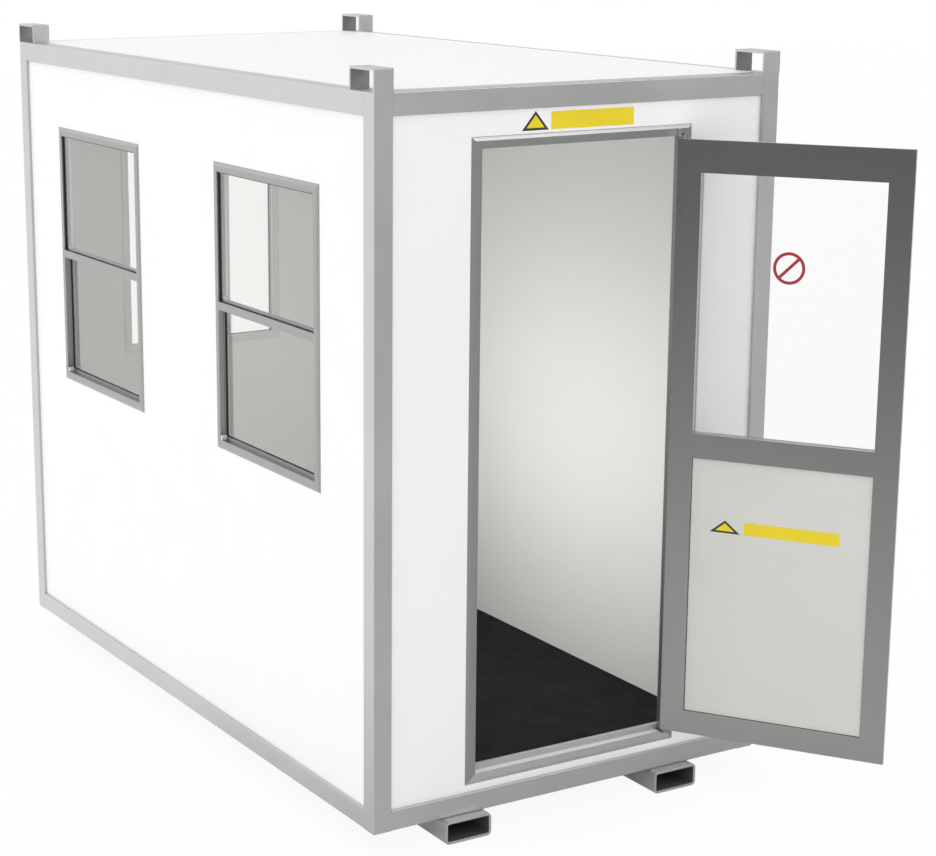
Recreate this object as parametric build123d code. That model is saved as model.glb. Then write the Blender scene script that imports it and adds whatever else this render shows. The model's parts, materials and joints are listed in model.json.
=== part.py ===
from build123d import *
import math
import os

# Portable site cabin on two lift tubes, millimetres.
# X runs across the cabin, +Y away from the door end, +Z up.
# The origin is on the ground, under the middle of the cabin.

# Steel frame
CABIN_WIDTH = 1580.0
CABIN_LENGTH = 2840.0
FRAME_HEIGHT = 2400.0
POST_SIZE = 68.0
BASE_RAIL_HEIGHT = 70.0
BASE_RAIL_DEPTH = 44.0
ROOF_RAIL_HEIGHT = 74.0
ROOF_RAIL_DEPTH = 60.0
TUBE_WALL = 3.0
TUBE_CORNER = 4.0

# Lift tubes under the base frame, a little off the middle
LIFT_TUBE_WIDTH = 180.0
LIFT_TUBE_HEIGHT = 80.0
LIFT_TUBE_WALL = 9.0
LIFT_TUBE_CORNER = 16.0
LIFT_TUBE_SPACING = 862.0
LIFT_TUBE_OFFSET = -14.0
LIFT_TUBE_REACH = 35.0

# Lifting eyes on the corners
EYE_LENGTH = 152.0
EYE_HEIGHT = 72.0
EYE_WALL = 8.0
EYE_CORNER = 3.0

# Panels
PANEL_RECESS = 10.0
PANEL_THICKNESS = 40.0
ROOF_THICKNESS = 50.0
ROOF_LAP = 8.0
ROOF_SKIN = 2.0
FLOOR_TOP = 40.0
COVERING_THICKNESS = 3.0

# Profile shared by the door frame and the window frames: a sloping lip, a flat face, a body
FRAME_PROUD = 5.0
FRAME_SLOPE = 13.0
FRAME_LAP = 8.0

# Door frame; the place is measured from the left post's outer face
DOOR_LEFT = 357.0
DOOR_FRAME_WIDTH = 865.0
DOOR_FRAME_FOOT = 95.0
DOOR_HEAD_MARGIN = 153.0
DOOR_FACE = 37.5
SILL_LEDGE = 27.0
SILL_UPSTAND = 17.5

# Door leaf
LEAF_THICKNESS = 33.0
LEAF_PROUD = 12.0
LEAF_GAP = 6.0
LEAF_SILL_GAP = 19.5
LEAF_REBATE = 10.0
LEAF_FLANGE = 13.0
STILE_WIDTH = 82.0
TOP_RAIL_WIDTH = 108.0
MID_RAIL_WIDTH = 84.0
BOTTOM_RAIL_WIDTH = 80.0
MID_RAIL_HEIGHT = 1135.0
GLASS_SETBACK = 22.0
INFILL_SETBACK = 9.0
INFILL_THICKNESS = 16.0
DOOR_ANGLE = 124.1

# Door pivots
PIVOT_EDGE = 6.0
PIVOT_FACE = 5.0
PIVOT_PIN = 8.0
PIVOT_PIN_DEPTH = 26.0
PIVOT_RUN = 0.15
PIVOT_PLATE = 2.5
PIVOT_WASHER = 17.0
PIVOT_WIDTH = 24.0
PIVOT_GRIP = 22.0
TAB_WIDTH = 52.0
TAB_HEIGHT = 25.0
TAB_HOLE = 9.0
TAB_HOLE_HEIGHT = 7.0

# Windows
WINDOW_WIDTH = 752.0
WINDOW_HEIGHT = 1018.0
WINDOW_SILL = 1067.0
WINDOW_MARGIN = 360.0
WINDOW_FACE = 33.0
WINDOW_BODY = 28.0
SASH_STILE = 3.0
SASH_DEPTH = 15.0
SASH_RAIL = 29.0
SASH_FOOT_RAIL = 12.0
SASH_RUN = 2.0
MEETING_HEIGHT = 500.5
MEETING_STAGGER = 7.5
GLASS = 5.0
GLASS_INSET = 8.0

BASE_Z = LIFT_TUBE_HEIGHT
TOP_Z = BASE_Z + FRAME_HEIGHT
X0 = -CABIN_WIDTH / 2
Y0 = -CABIN_LENGTH / 2
ROOF_LOW = TOP_Z - ROOF_RAIL_HEIGHT
BASE_HIGH = BASE_Z + BASE_RAIL_HEIGHT
FLOOR_Z = BASE_Z + FLOOR_TOP
INNER = PANEL_RECESS + PANEL_THICKNESS

parts = {}


def block(x0, x1, y0, y1, z0, z1):
    return Pos((x0 + x1) / 2, (y0 + y1) / 2, (z0 + z1) / 2) * Box(x1 - x0, y1 - y0, z1 - z0)


def box_section(width, height, wall, corner):
    """A rolled hollow section drawn in the local XY plane."""
    bore = RectangleRounded(width - 2 * wall, height - 2 * wall, max(corner - wall, wall / 5))
    return RectangleRounded(width, height, corner) - bore


def tube(start, end, width, height, wall, corner, side):
    """A hollow section from start to end; side is the direction of its width."""
    a = Vector(*start)
    b = Vector(*end)
    plane = Plane(origin=a, x_dir=side, z_dir=(b - a).normalized())
    return extrude(plane * box_section(width, height, wall, corner), amount=(b - a).length)


def run_of(points, length):
    """A section of (depth, height) points pushed along +X."""
    outline = Polyline(*[(0, depth, height) for depth, height in points], close=True)
    return extrude(make_face(outline), amount=length, dir=(1, 0, 0))


def frame_section(face, body):
    """Lip, flat face, opening face and body of a frame that laps the panel round its hole."""
    return [
        (0, 0),
        (-FRAME_PROUD, FRAME_SLOPE),
        (-FRAME_PROUD, face),
        (body, face),
        (body, FRAME_LAP),
        (0, FRAME_LAP),
    ]


def mitred_bar(section, length):
    """A length of section, inward side up, cut to 45 degrees at both ends."""
    inward = max(height for depth, height in section)
    depths = [depth for depth, height in section]
    shape = make_face(
        Polyline(
            (0, min(depths), 0),
            (length, min(depths), 0),
            (length - inward, min(depths), inward),
            (inward, min(depths), inward),
            close=True,
        )
    )
    return run_of(section, length) & extrude(shape, amount=max(depths) - min(depths), dir=(0, 1, 0))


def four_bars(section, width, height):
    """Foot, right side, head and left side of a mitred frame that stands at the origin."""
    return {
        "foot": mitred_bar(section, width),
        "right": Location((width, 0, 0), (0, -90, 0)) * mitred_bar(section, height),
        "head": Location((width, 0, height), (0, 180, 0)) * mitred_bar(section, width),
        "left": Location((0, 0, height), (0, 90, 0)) * mitred_bar(section, height),
    }


# Corner posts, capped at the top
half = POST_SIZE / 2
corners = {
    "front_left": (X0 + half, Y0 + half),
    "front_right": (-X0 - half, Y0 + half),
    "back_left": (X0 + half, -Y0 - half),
    "back_right": (-X0 - half, -Y0 - half),
}
for name, (x, y) in corners.items():
    post = tube((x, y, BASE_Z), (x, y, TOP_Z), POST_SIZE, POST_SIZE, TUBE_WALL, TUBE_CORNER, (1, 0, 0))
    inside = half - TUBE_WALL / 2
    cap = block(x - inside, x + inside, y - inside, y + inside, TOP_Z - TUBE_WALL, TOP_Z)
    parts["post_" + name] = post + cap

# Base and roof rails between the posts, flush with them outside
for level, height, depth, middle in (
    ("base", BASE_RAIL_HEIGHT, BASE_RAIL_DEPTH, BASE_Z + BASE_RAIL_HEIGHT / 2),
    ("roof", ROOF_RAIL_HEIGHT, ROOF_RAIL_DEPTH, TOP_Z - ROOF_RAIL_HEIGHT / 2),
):
    section = (depth, height, TUBE_WALL, TUBE_CORNER)
    for name, y in (("front", Y0 + depth / 2), ("back", -Y0 - depth / 2)):
        ends = ((X0 + POST_SIZE, y, middle), (-X0 - POST_SIZE, y, middle))
        parts[f"{level}_rail_{name}"] = tube(*ends, *section, (0, 1, 0))
    for name, x in (("left", X0 + depth / 2), ("right", -X0 - depth / 2)):
        ends = ((x, Y0 + POST_SIZE, middle), (x, -Y0 - POST_SIZE, middle))
        parts[f"{level}_rail_{name}"] = tube(*ends, *section, (1, 0, 0))

# Lift tubes
for name, side in (("left", -1), ("right", 1)):
    x = LIFT_TUBE_OFFSET + side * LIFT_TUBE_SPACING / 2
    parts["lift_tube_" + name] = tube(
        (x, Y0 - LIFT_TUBE_REACH, LIFT_TUBE_HEIGHT / 2),
        (x, -Y0 + LIFT_TUBE_REACH, LIFT_TUBE_HEIGHT / 2),
        LIFT_TUBE_WIDTH,
        LIFT_TUBE_HEIGHT,
        LIFT_TUBE_WALL,
        LIFT_TUBE_CORNER,
        (1, 0, 0),
    )

# Lifting eyes: bent plates that bridge each post and the rail behind it
plate = Pos(0, EYE_HEIGHT / 2) * Rectangle(EYE_LENGTH, EYE_HEIGHT)
plate = fillet(plate.vertices().group_by(Axis.Y)[-1], EYE_CORNER)
way_height = EYE_HEIGHT - EYE_WALL
plate -= Pos(0, way_height / 2) * Rectangle(EYE_LENGTH - 2 * EYE_WALL, way_height)
eye = extrude(Plane.YZ * plate, amount=half, both=True)
for name, (x, y) in corners.items():
    outer_y = math.copysign(-Y0, y)
    middle_y = outer_y - math.copysign(EYE_LENGTH / 2, y)
    parts["lifting_eye_" + name] = Pos(x, middle_y, TOP_Z) * eye


def between_rails(depth, z0, z1):
    """A slab that fills the frame between rails of one depth and round the four posts."""
    slab = block(X0 + depth, -X0 - depth, Y0 + depth, -Y0 - depth, z0, z1)
    for x, y in corners.values():
        slab -= block(x - half, x + half, y - half, y + half, z0, z1)
    return slab


# Floor between the base rails, carried by the lift tubes, with its covering let in between the walls
covering = between_rails(INNER, FLOOR_Z - COVERING_THICKNESS, FLOOR_Z)
parts["floor_deck"] = between_rails(BASE_RAIL_DEPTH, BASE_Z, FLOOR_Z) - covering
parts["floor_covering"] = covering

# Roof panel dropped between the roof rails, its skin lapping their flanges
panel = between_rails(ROOF_RAIL_DEPTH, TOP_Z - ROOF_THICKNESS, TOP_Z)
edge = ROOF_RAIL_DEPTH - ROOF_LAP
skin = block(X0 + edge, -X0 - edge, Y0 + edge, -Y0 - edge, TOP_Z, TOP_Z + ROOF_SKIN)
for x, y in corners.values():
    reach = sorted((math.copysign(-Y0, y), math.copysign(-Y0 - EYE_LENGTH, y)))
    skin -= block(x - half, x + half, *reach, TOP_Z, TOP_Z + ROOF_SKIN)
parts["roof_panel"] = panel + skin

# Wall panels: the inner lining runs down over the base rail to the deck
WALL_SECTION = [
    (PANEL_RECESS, BASE_HIGH),
    (PANEL_RECESS, ROOF_LOW),
    (INNER, ROOF_LOW),
    (INNER, FLOOR_Z),
    (BASE_RAIL_DEPTH, FLOOR_Z),
    (BASE_RAIL_DEPTH, BASE_HIGH),
]
end_x = -X0 - POST_SIZE
side_y = -Y0 - POST_SIZE
front = Pos(0, Y0, 0)
back = Location((0, -Y0, 0), (0, 0, 180))
left = Location((X0, 0, 0), (0, 0, -90))
right = Location((-X0, 0, 0), (0, 0, 90))

window_z = BASE_Z + WINDOW_SILL
window_hole = block(
    FRAME_LAP,
    WINDOW_WIDTH - FRAME_LAP,
    PANEL_RECESS,
    PANEL_RECESS + WINDOW_BODY,
    window_z + FRAME_LAP,
    window_z + WINDOW_HEIGHT - FRAME_LAP,
)
window_hole += block(
    WINDOW_FACE,
    WINDOW_WIDTH - WINDOW_FACE,
    PANEL_RECESS,
    INNER,
    window_z + WINDOW_FACE,
    window_z + WINDOW_HEIGHT - WINDOW_FACE,
)
side_starts = {
    "window_front": -Y0 - WINDOW_MARGIN - WINDOW_WIDTH,
    "window_rear": Y0 + WINDOW_MARGIN,
}
wall_left = Pos(-side_y, 0, 0) * run_of(WALL_SECTION, 2 * side_y)
for start in side_starts.values():
    wall_left -= Pos(start, 0, 0) * window_hole
parts["wall_left"] = left * wall_left
parts["wall_right"] = right * Pos(-side_y, 0, 0) * run_of(WALL_SECTION, 2 * side_y)
wall_back = Pos(-end_x, 0, 0) * run_of(WALL_SECTION, 2 * end_x)
parts["wall_back"] = back * (wall_back - Pos(-WINDOW_WIDTH / 2, 0, 0) * window_hole)

# Front wall, in four pieces round the door frame
door_x0 = X0 + DOOR_LEFT
door_x1 = door_x0 + DOOR_FRAME_WIDTH
door_z0 = BASE_Z + DOOR_FRAME_FOOT
door_z1 = TOP_Z - DOOR_HEAD_MARGIN
hole_x0 = door_x0 + FRAME_LAP
hole_x1 = door_x1 - FRAME_LAP
front_y = (Y0 + PANEL_RECESS, Y0 + INNER)
for name, x0, x1 in (("left", -end_x, hole_x0), ("right", hole_x1, end_x)):
    parts["wall_front_" + name] = front * Pos(x0, 0, 0) * run_of(WALL_SECTION, x1 - x0)
parts["wall_front_over"] = block(hole_x0, hole_x1, *front_y, door_z1 - FRAME_LAP, ROOF_LOW)
under = Pos(hole_x0, 0, 0) * run_of(WALL_SECTION, hole_x1 - hole_x0)
under -= block(hole_x0, hole_x1, 0, INNER, door_z0 + FRAME_LAP, ROOF_LOW)
parts["wall_front_under"] = front * under

# Door frame: one profile round the opening, mitred at the corners
open_x0 = door_x0 + DOOR_FACE
open_x1 = door_x1 - DOOR_FACE
open_z0 = door_z0 + DOOR_FACE
open_z1 = door_z1 - DOOR_FACE
face_y = Y0 + PANEL_RECESS - FRAME_PROUD
place = Pos(door_x0, Y0 + PANEL_RECESS, door_z0)
bars = four_bars(frame_section(DOOR_FACE, PANEL_THICKNESS), DOOR_FRAME_WIDTH, door_z1 - door_z0)
parts["door_frame_head"] = place * bars["head"]
parts["door_frame_jamb_left"] = place * bars["left"]
parts["door_frame_jamb_right"] = place * bars["right"]
upstand = block(open_x0, open_x1, face_y + SILL_LEDGE, Y0 + INNER, open_z0, open_z0 + SILL_UPSTAND)
parts["door_threshold"] = place * bars["foot"] + upstand


def pane(x0, x1, inset, z0, z1):
    return block(x0, x1, inset, inset + GLASS, z0, z1)


def window(name, place, slider):
    """A window in a wall whose outer face is the XZ plane, with its foot corner at the origin."""
    face = WINDOW_FACE
    bars = four_bars(frame_section(face, WINDOW_BODY), WINDOW_WIDTH, WINDOW_HEIGHT)
    frame = bars["foot"] + bars["right"] + bars["head"] + bars["left"]
    parts[name + "_frame"] = place * frame
    x0, x1 = face, WINDOW_WIDTH - face
    z0, z1 = face, WINDOW_HEIGHT - face
    if not slider:
        parts[name + "_glass"] = place * pane(x0, x1, GLASS_INSET - FRAME_PROUD, z0, z1)
        return
    upper_low = MEETING_HEIGHT
    lower_high = MEETING_HEIGHT + MEETING_STAGGER + SASH_RAIL
    outer_back = SASH_DEPTH - FRAME_PROUD
    inner_front = outer_back + SASH_RUN
    upper_inset = GLASS_INSET - FRAME_PROUD
    lower_inset = WINDOW_BODY - SASH_RUN - GLASS
    stile_x = (x0 + SASH_STILE, x1 - SASH_STILE)
    upper_z = (upper_low + SASH_RAIL, z1 - SASH_STILE)
    lower_z = (z0 + SASH_FOOT_RAIL, lower_high - SASH_RAIL)
    upper = block(x0, x1, upper_inset - SASH_RUN, outer_back, upper_low, z1)
    upper += block(x0, x1, -FRAME_PROUD, outer_back, upper_low, upper_low + SASH_RAIL)
    upper -= block(*stile_x, -FRAME_PROUD, outer_back, *upper_z)
    lower = block(x0, x1, inner_front + SASH_RUN, WINDOW_BODY, z0, lower_high)
    lower += block(x0, x1, inner_front, WINDOW_BODY, lower_high - SASH_RAIL, lower_high)
    lower -= block(*stile_x, inner_front, WINDOW_BODY, *lower_z)
    parts[name + "_upper_sash"] = place * upper
    parts[name + "_lower_sash"] = place * lower
    panes = [pane(*stile_x, upper_inset, *upper_z), pane(*stile_x, lower_inset, *lower_z)]
    parts[name + "_glass"] = Compound([place * one for one in panes])


for name, start in side_starts.items():
    window(name, left * Pos(start, PANEL_RECESS, window_z), True)
window("window_back", back * Pos(-WINDOW_WIDTH / 2, PANEL_RECESS, window_z), False)

# Door leaf, drawn closed, then swung open about its pivots
leaf_x0 = open_x0 + LEAF_GAP
leaf_x1 = open_x1 - LEAF_GAP
leaf_z0 = open_z0 + LEAF_SILL_GAP
leaf_z1 = open_z1 - LEAF_GAP
outer_y = Y0 - LEAF_PROUD
inner_y = outer_y + LEAF_THICKNESS
axis_x = leaf_x1 - PIVOT_EDGE
axis_y = outer_y + PIVOT_FACE
mid_z = BASE_Z + MID_RAIL_HEIGHT
glass_z = (mid_z + MID_RAIL_WIDTH, leaf_z1 - TOP_RAIL_WIDTH)
infill_z = (leaf_z0 + BOTTOM_RAIL_WIDTH, mid_z)
inner_x = (leaf_x0 + STILE_WIDTH, leaf_x1 - STILE_WIDTH)
flange_y = inner_y - LEAF_FLANGE
body_z1 = leaf_z1 - LEAF_REBATE
leaf = block(leaf_x0, leaf_x1, flange_y, inner_y, leaf_z0, leaf_z1)
leaf += block(leaf_x0 + LEAF_REBATE, leaf_x1, outer_y, flange_y, leaf_z0, body_z1)
leaf -= block(*inner_x, outer_y, inner_y, *glass_z)
leaf -= block(*inner_x, outer_y, inner_y, *infill_z)
for z, rise in ((leaf_z0, Align.MIN), (body_z1, Align.MAX)):
    bore = Cylinder(
        PIVOT_PIN / 2 + PIVOT_RUN,
        PIVOT_PIN_DEPTH + SASH_RUN,
        align=(Align.CENTER, Align.CENTER, rise),
    )
    leaf -= Pos(axis_x, axis_y, z) * bore
swing = Pos(axis_x, axis_y, 0) * Rot(0, 0, DOOR_ANGLE) * Pos(-axis_x, -axis_y, 0)
parts["door_leaf"] = swing * leaf
glass_y = inner_y - GLASS_SETBACK
infill_y = inner_y - INFILL_SETBACK
parts["door_glass"] = swing * block(*inner_x, glass_y - GLASS, glass_y, *glass_z)
parts["door_lower_panel"] = swing * block(*inner_x, infill_y - INFILL_THICKNESS, infill_y, *infill_z)

# Door pivots: brackets on the threshold and the head, each with a pin that runs in the leaf
plate_y0 = axis_y - PIVOT_WASHER / 2
plate_x = (axis_x - PIVOT_WIDTH / 2, axis_x + PIVOT_WIDTH / 2)


def pin(z0, z1, radius):
    middle = Pos(axis_x, axis_y, (z0 + z1) / 2)
    return middle * Cylinder(radius, z1 - z0)


low_plate = open_z0 + PIVOT_PLATE
bottom = block(*plate_x, plate_y0, face_y + PIVOT_GRIP, open_z0, low_plate)
bottom += pin(open_z0, leaf_z0 - PIVOT_RUN, PIVOT_WASHER / 2)
bottom += pin(open_z0, leaf_z0 + PIVOT_PIN_DEPTH, PIVOT_PIN / 2)
high_plate = open_z1 - PIVOT_PLATE
tab_x1 = plate_x[1] + TAB_WIDTH - PIVOT_WIDTH
top = block(plate_x[0], plate_x[1], plate_y0, face_y, high_plate, open_z1)
top += block(plate_x[0], tab_x1, face_y - PIVOT_PLATE, face_y, high_plate, high_plate + TAB_HEIGHT)
hole = Location((axis_x + PIVOT_WASHER / 2, face_y, high_plate + TAB_HOLE_HEIGHT), (90, 0, 0))
top -= hole * Cylinder(TAB_HOLE / 2, TAB_HEIGHT)
top += pin(body_z1 + PIVOT_RUN, open_z1, PIVOT_WASHER / 2)
top += pin(body_z1 - PIVOT_PIN_DEPTH, open_z1, PIVOT_PIN / 2)
parts["door_pivots"] = Compound([bottom, top])

os.makedirs("parts", exist_ok=True)
for name, shape in parts.items():
    shape.label = name
    export_step(shape, f"parts/{name}.step")
    print(name, len(shape.solids()), round(shape.volume))
print("nodes", len(parts))
print("pivot", axis_x, axis_y)
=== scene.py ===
"""Portable site cabin: finishes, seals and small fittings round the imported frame."""

import json
import logging
import math
from dataclasses import dataclass, field
from enum import Enum
from typing import Callable

import bmesh
import bpy
from mathutils import Matrix, Vector


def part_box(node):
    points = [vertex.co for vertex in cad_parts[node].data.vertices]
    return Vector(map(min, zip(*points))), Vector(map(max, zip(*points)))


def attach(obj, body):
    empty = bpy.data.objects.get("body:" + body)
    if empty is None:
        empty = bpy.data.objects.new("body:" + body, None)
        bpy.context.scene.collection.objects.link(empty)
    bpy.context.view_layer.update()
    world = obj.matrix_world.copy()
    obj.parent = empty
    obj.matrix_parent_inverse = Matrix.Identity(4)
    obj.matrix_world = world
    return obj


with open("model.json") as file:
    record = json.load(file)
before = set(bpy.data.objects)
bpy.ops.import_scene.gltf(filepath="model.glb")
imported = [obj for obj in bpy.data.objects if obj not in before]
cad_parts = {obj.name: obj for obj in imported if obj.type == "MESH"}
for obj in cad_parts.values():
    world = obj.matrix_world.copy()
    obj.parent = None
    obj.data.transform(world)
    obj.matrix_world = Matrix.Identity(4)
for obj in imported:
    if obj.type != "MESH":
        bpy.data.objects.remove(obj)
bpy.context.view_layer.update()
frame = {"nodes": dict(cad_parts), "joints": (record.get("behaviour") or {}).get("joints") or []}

MM = 0.001
LOG = logging.getLogger("site_cabin")

# The photograph's frame and the camera solved from its straight edges
IMAGE_WIDTH = 936
FOCAL_PIXELS = 2246.5
PRINCIPAL_RIGHT = 368.2
PRINCIPAL_DOWN = 426.5
IMAGE_HEIGHT = 856
CAMERA_PLACE = Vector((-4.2551, -7.2846, 3.0579))
CAMERA_HEADING = 30.423
CAMERA_DIP = 13.297
SENSOR_WIDTH = 36.0

WALL_NODES = (
    "wall_left",
    "wall_right",
    "wall_back",
    "wall_front_left",
    "wall_front_right",
    "wall_front_over",
    "wall_front_under",
)


class Yaw(Enum):
    """Which way a window's wall looks, as the turn in degrees from the front wall."""

    LEFT = -90.0
    BACK = 180.0


class Grain(Enum):
    """The way that the die lines of an extrusion run."""

    ACROSS = "X"
    ALONG = "Y"
    UPRIGHT = "Z"


def linear(code: str) -> tuple[float, float, float, float]:
    """Turn an sRGB hex value into linear light.

    Args:
        code: Six hex digits, as "c8c8c8".

    Returns:
        Red, green, blue and an alpha of 1.
    """
    channels = [int(code[i : i + 2], 16) / 255 for i in (0, 2, 4)]
    light = [c / 12.92 if c <= 0.04045 else ((c + 0.055) / 1.055) ** 2.4 for c in channels]
    return (*light, 1.0)


def add_node(
    tree: bpy.types.NodeTree,
    kind: str,
    values: dict | None = None,
    links: dict | None = None,
    **settings: object,
) -> bpy.types.Node:
    """Add one node with its settings, socket values and links.

    Args:
        tree: The node tree that takes the node.
        kind: The node's type name.
        values: Input socket values, by name or number.
        links: Output sockets to join to inputs, by name or number.
        settings: Properties of the node itself.

    Returns:
        The new node.
    """
    node = tree.nodes.new(kind)
    for name, value in settings.items():
        setattr(node, name, value)
    for name, value in (values or {}).items():
        node.inputs[name].default_value = value
    for name, socket in (links or {}).items():
        tree.links.new(socket, node.inputs[name])
    return node


def new_material(name: str) -> tuple[bpy.types.Material, bpy.types.NodeTree, bpy.types.Node]:
    """Start a material with an empty tree and an output.

    Args:
        name: The material's name.

    Returns:
        The material, its tree and its output node.
    """
    material = bpy.data.materials.new(name)
    material.use_nodes = True
    material.node_tree.nodes.clear()
    output = add_node(material.node_tree, "ShaderNodeOutputMaterial")
    return material, material.node_tree, output


def object_point(
    tree: bpy.types.NodeTree, stretch: tuple[float, float, float] = (1.0, 1.0, 1.0), turn: float = 0.0
) -> bpy.types.NodeSocket:
    """Object coordinates, turned about Z and stretched.

    Args:
        tree: The node tree.
        stretch: The scale along X, Y and Z.
        turn: The turn about Z in degrees.

    Returns:
        The vector socket.
    """
    place = add_node(tree, "ShaderNodeTexCoord").outputs["Object"]
    mapping = add_node(
        tree,
        "ShaderNodeMapping",
        {"Scale": stretch, "Rotation": (0.0, 0.0, math.radians(turn))},
        {"Vector": place},
        vector_type="POINT",
    )
    return mapping.outputs["Vector"]


def noise(
    tree: bpy.types.NodeTree, point: bpy.types.NodeSocket, grain_mm: float, detail: float = 3.0
) -> bpy.types.NodeSocket:
    """Noise whose lumps are about as wide as the given size.

    Args:
        tree: The node tree.
        point: The coordinates.
        grain_mm: The width of a lump in millimetres.
        detail: The number of octaves.

    Returns:
        The noise value, from 0 to 1.
    """
    scale = 1.0 / (grain_mm * MM)
    node = add_node(tree, "ShaderNodeTexNoise", {"Scale": scale, "Detail": detail}, {"Vector": point})
    return node.outputs[0]


def spread(
    tree: bpy.types.NodeTree, value: bpy.types.NodeSocket, low: float, high: float
) -> bpy.types.NodeSocket:
    """Bring a noise value, which keeps near its middle, to a range.

    Args:
        tree: The node tree.
        value: The noise.
        low: What the darkest lump gives.
        high: What the lightest lump gives.

    Returns:
        The value between low and high.
    """
    node = add_node(
        tree,
        "ShaderNodeMapRange",
        {"From Min": 0.3, "From Max": 0.7, "To Min": low, "To Max": high},
        {"Value": value},
    )
    return node.outputs["Result"]


def shade(
    tree: bpy.types.NodeTree, dark: str, light: str, amount: bpy.types.NodeSocket
) -> bpy.types.NodeSocket:
    """Mix two sRGB hex colours by an amount.

    Args:
        tree: The node tree.
        dark: The colour at 0.
        light: The colour at 1.
        amount: The mix.

    Returns:
        The colour socket.
    """
    node = add_node(tree, "ShaderNodeMix", None, {0: amount}, data_type="RGBA")
    node.inputs[6].default_value = linear(dark)
    node.inputs[7].default_value = linear(light)
    return node.outputs[2]


def relief(
    tree: bpy.types.NodeTree,
    height: bpy.types.NodeSocket,
    depth_mm: float,
    under: bpy.types.NodeSocket | None = None,
) -> bpy.types.NodeSocket:
    """A bump of a real depth, on top of another normal if one is given.

    Args:
        tree: The node tree.
        height: The height from 0 to 1.
        depth_mm: The height of 1 in millimetres.
        under: The normal that the bump rides on.

    Returns:
        The normal socket.
    """
    links = {"Height": height}
    if under is not None:
        links["Normal"] = under
    node = add_node(tree, "ShaderNodeBump", {"Distance": depth_mm * MM, "Strength": 1.0}, links)
    return node.outputs["Normal"]


def soft_edges(tree: bpy.types.NodeTree, radius_mm: float) -> bpy.types.NodeSocket:
    """The small round that a folded or extruded edge has, as a normal.

    Args:
        tree: The node tree.
        radius_mm: The radius of the round.

    Returns:
        The normal socket.
    """
    node = add_node(tree, "ShaderNodeBevel", {"Radius": radius_mm * MM}, samples=4)
    return node.outputs["Normal"]


@dataclass(frozen=True)
class PaintedSteel:
    """Rolled steel section, zinc primed and sprayed silver grey: flake gives it a soft metal sheen."""

    name: str = "painted_steel_grey"
    dark: str = "bfbfbf"
    light: str = "c7c7c7"
    metallic: float = 0.7
    roughness: float = 0.36
    peel_mm: float = 5.0
    cloud_mm: float = 320.0
    edge_mm: float = 2.5

    def build(self) -> bpy.types.Material:
        """Build the paint: faint clouds in the tone and a sprayed orange-peel bump.

        Returns:
            The material.
        """
        material, tree, output = new_material(self.name)
        point = object_point(tree)
        clouds = spread(tree, noise(tree, point, self.cloud_mm), 0.0, 1.0)
        tone = shade(tree, self.dark, self.light, clouds)
        # Sprayed peel is about 1 mm wide, too fine to show, so it is drawn five times as coarse.
        normal = relief(tree, noise(tree, point, self.peel_mm), 0.02, soft_edges(tree, self.edge_mm))
        rough = spread(tree, clouds, self.roughness - 0.03, self.roughness + 0.03)
        shader = add_node(
            tree,
            "ShaderNodeBsdfPrincipled",
            {"Metallic": self.metallic},
            {"Base Color": tone, "Roughness": rough, "Normal": normal},
        )
        tree.links.new(shader.outputs[0], output.inputs["Surface"])
        return material


@dataclass(frozen=True)
class CoatedSheet:
    """Polyester-coated steel skin of a sandwich panel: white, satin, with a hint of oil-canning."""

    name: str = "coated_sheet_white"
    dark: str = "f6f7f7"
    light: str = "f8f8f8"
    roughness: float = 0.38
    wave_mm: float = 420.0
    wave_depth_mm: float = 0.12
    grit_mm: float = 4.0
    grit_depth_mm: float = 0.008
    lining: str = "f0f0ed"
    room: tuple[float, float, float] = (0.742, 1.372, 2.45)

    def indoors(self, tree: bpy.types.NodeTree) -> bpy.types.NodeSocket:
        """One on the lining inside the room, which is a warmer white, else nought.

        Args:
            tree: The node tree.

        Returns:
            The value socket.
        """
        place = add_node(tree, "ShaderNodeTexCoord").outputs["Object"]
        parts = add_node(tree, "ShaderNodeSeparateXYZ", None, {0: place})
        inside = None
        for axis, reach in zip("XYZ", self.room):
            size = add_node(tree, "ShaderNodeMath", None, {0: parts.outputs[axis]}, operation="ABSOLUTE")
            near = add_node(
                tree, "ShaderNodeMath", {1: reach}, {0: size.outputs[0]}, operation="LESS_THAN"
            ).outputs[0]
            if inside is not None:
                links = {0: inside, 1: near}
                near = add_node(tree, "ShaderNodeMath", None, links, operation="MULTIPLY").outputs[0]
            inside = near
        return inside

    def build(self) -> bpy.types.Material:
        """Build the coating: broad shallow waves, fine roller grit and a trace of dust.

        Returns:
            The material.
        """
        material, tree, output = new_material(self.name)
        point = object_point(tree)
        waves = noise(tree, point, self.wave_mm, 1.0)
        pale_mix = spread(tree, noise(tree, point, self.wave_mm / 2), 0.0, 1.0)
        outside = shade(tree, self.dark, self.light, pale_mix)
        tones = {0: self.indoors(tree), 6: outside}
        tone = add_node(tree, "ShaderNodeMix", None, tones, data_type="RGBA")
        tone.inputs[7].default_value = linear(self.lining)
        # Roller grit is a few tenths of a millimetre wide, drawn coarser so that it shows up close.
        grit = noise(tree, point, self.grit_mm)
        normal = relief(tree, grit, self.grit_depth_mm, relief(tree, waves, self.wave_depth_mm))
        shader = add_node(
            tree,
            "ShaderNodeBsdfPrincipled",
            {"Roughness": self.roughness, "Specular IOR Level": 0.4},
            {"Base Color": tone.outputs[2], "Normal": normal},
        )
        tree.links.new(shader.outputs[0], output.inputs["Surface"])
        return material


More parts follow.
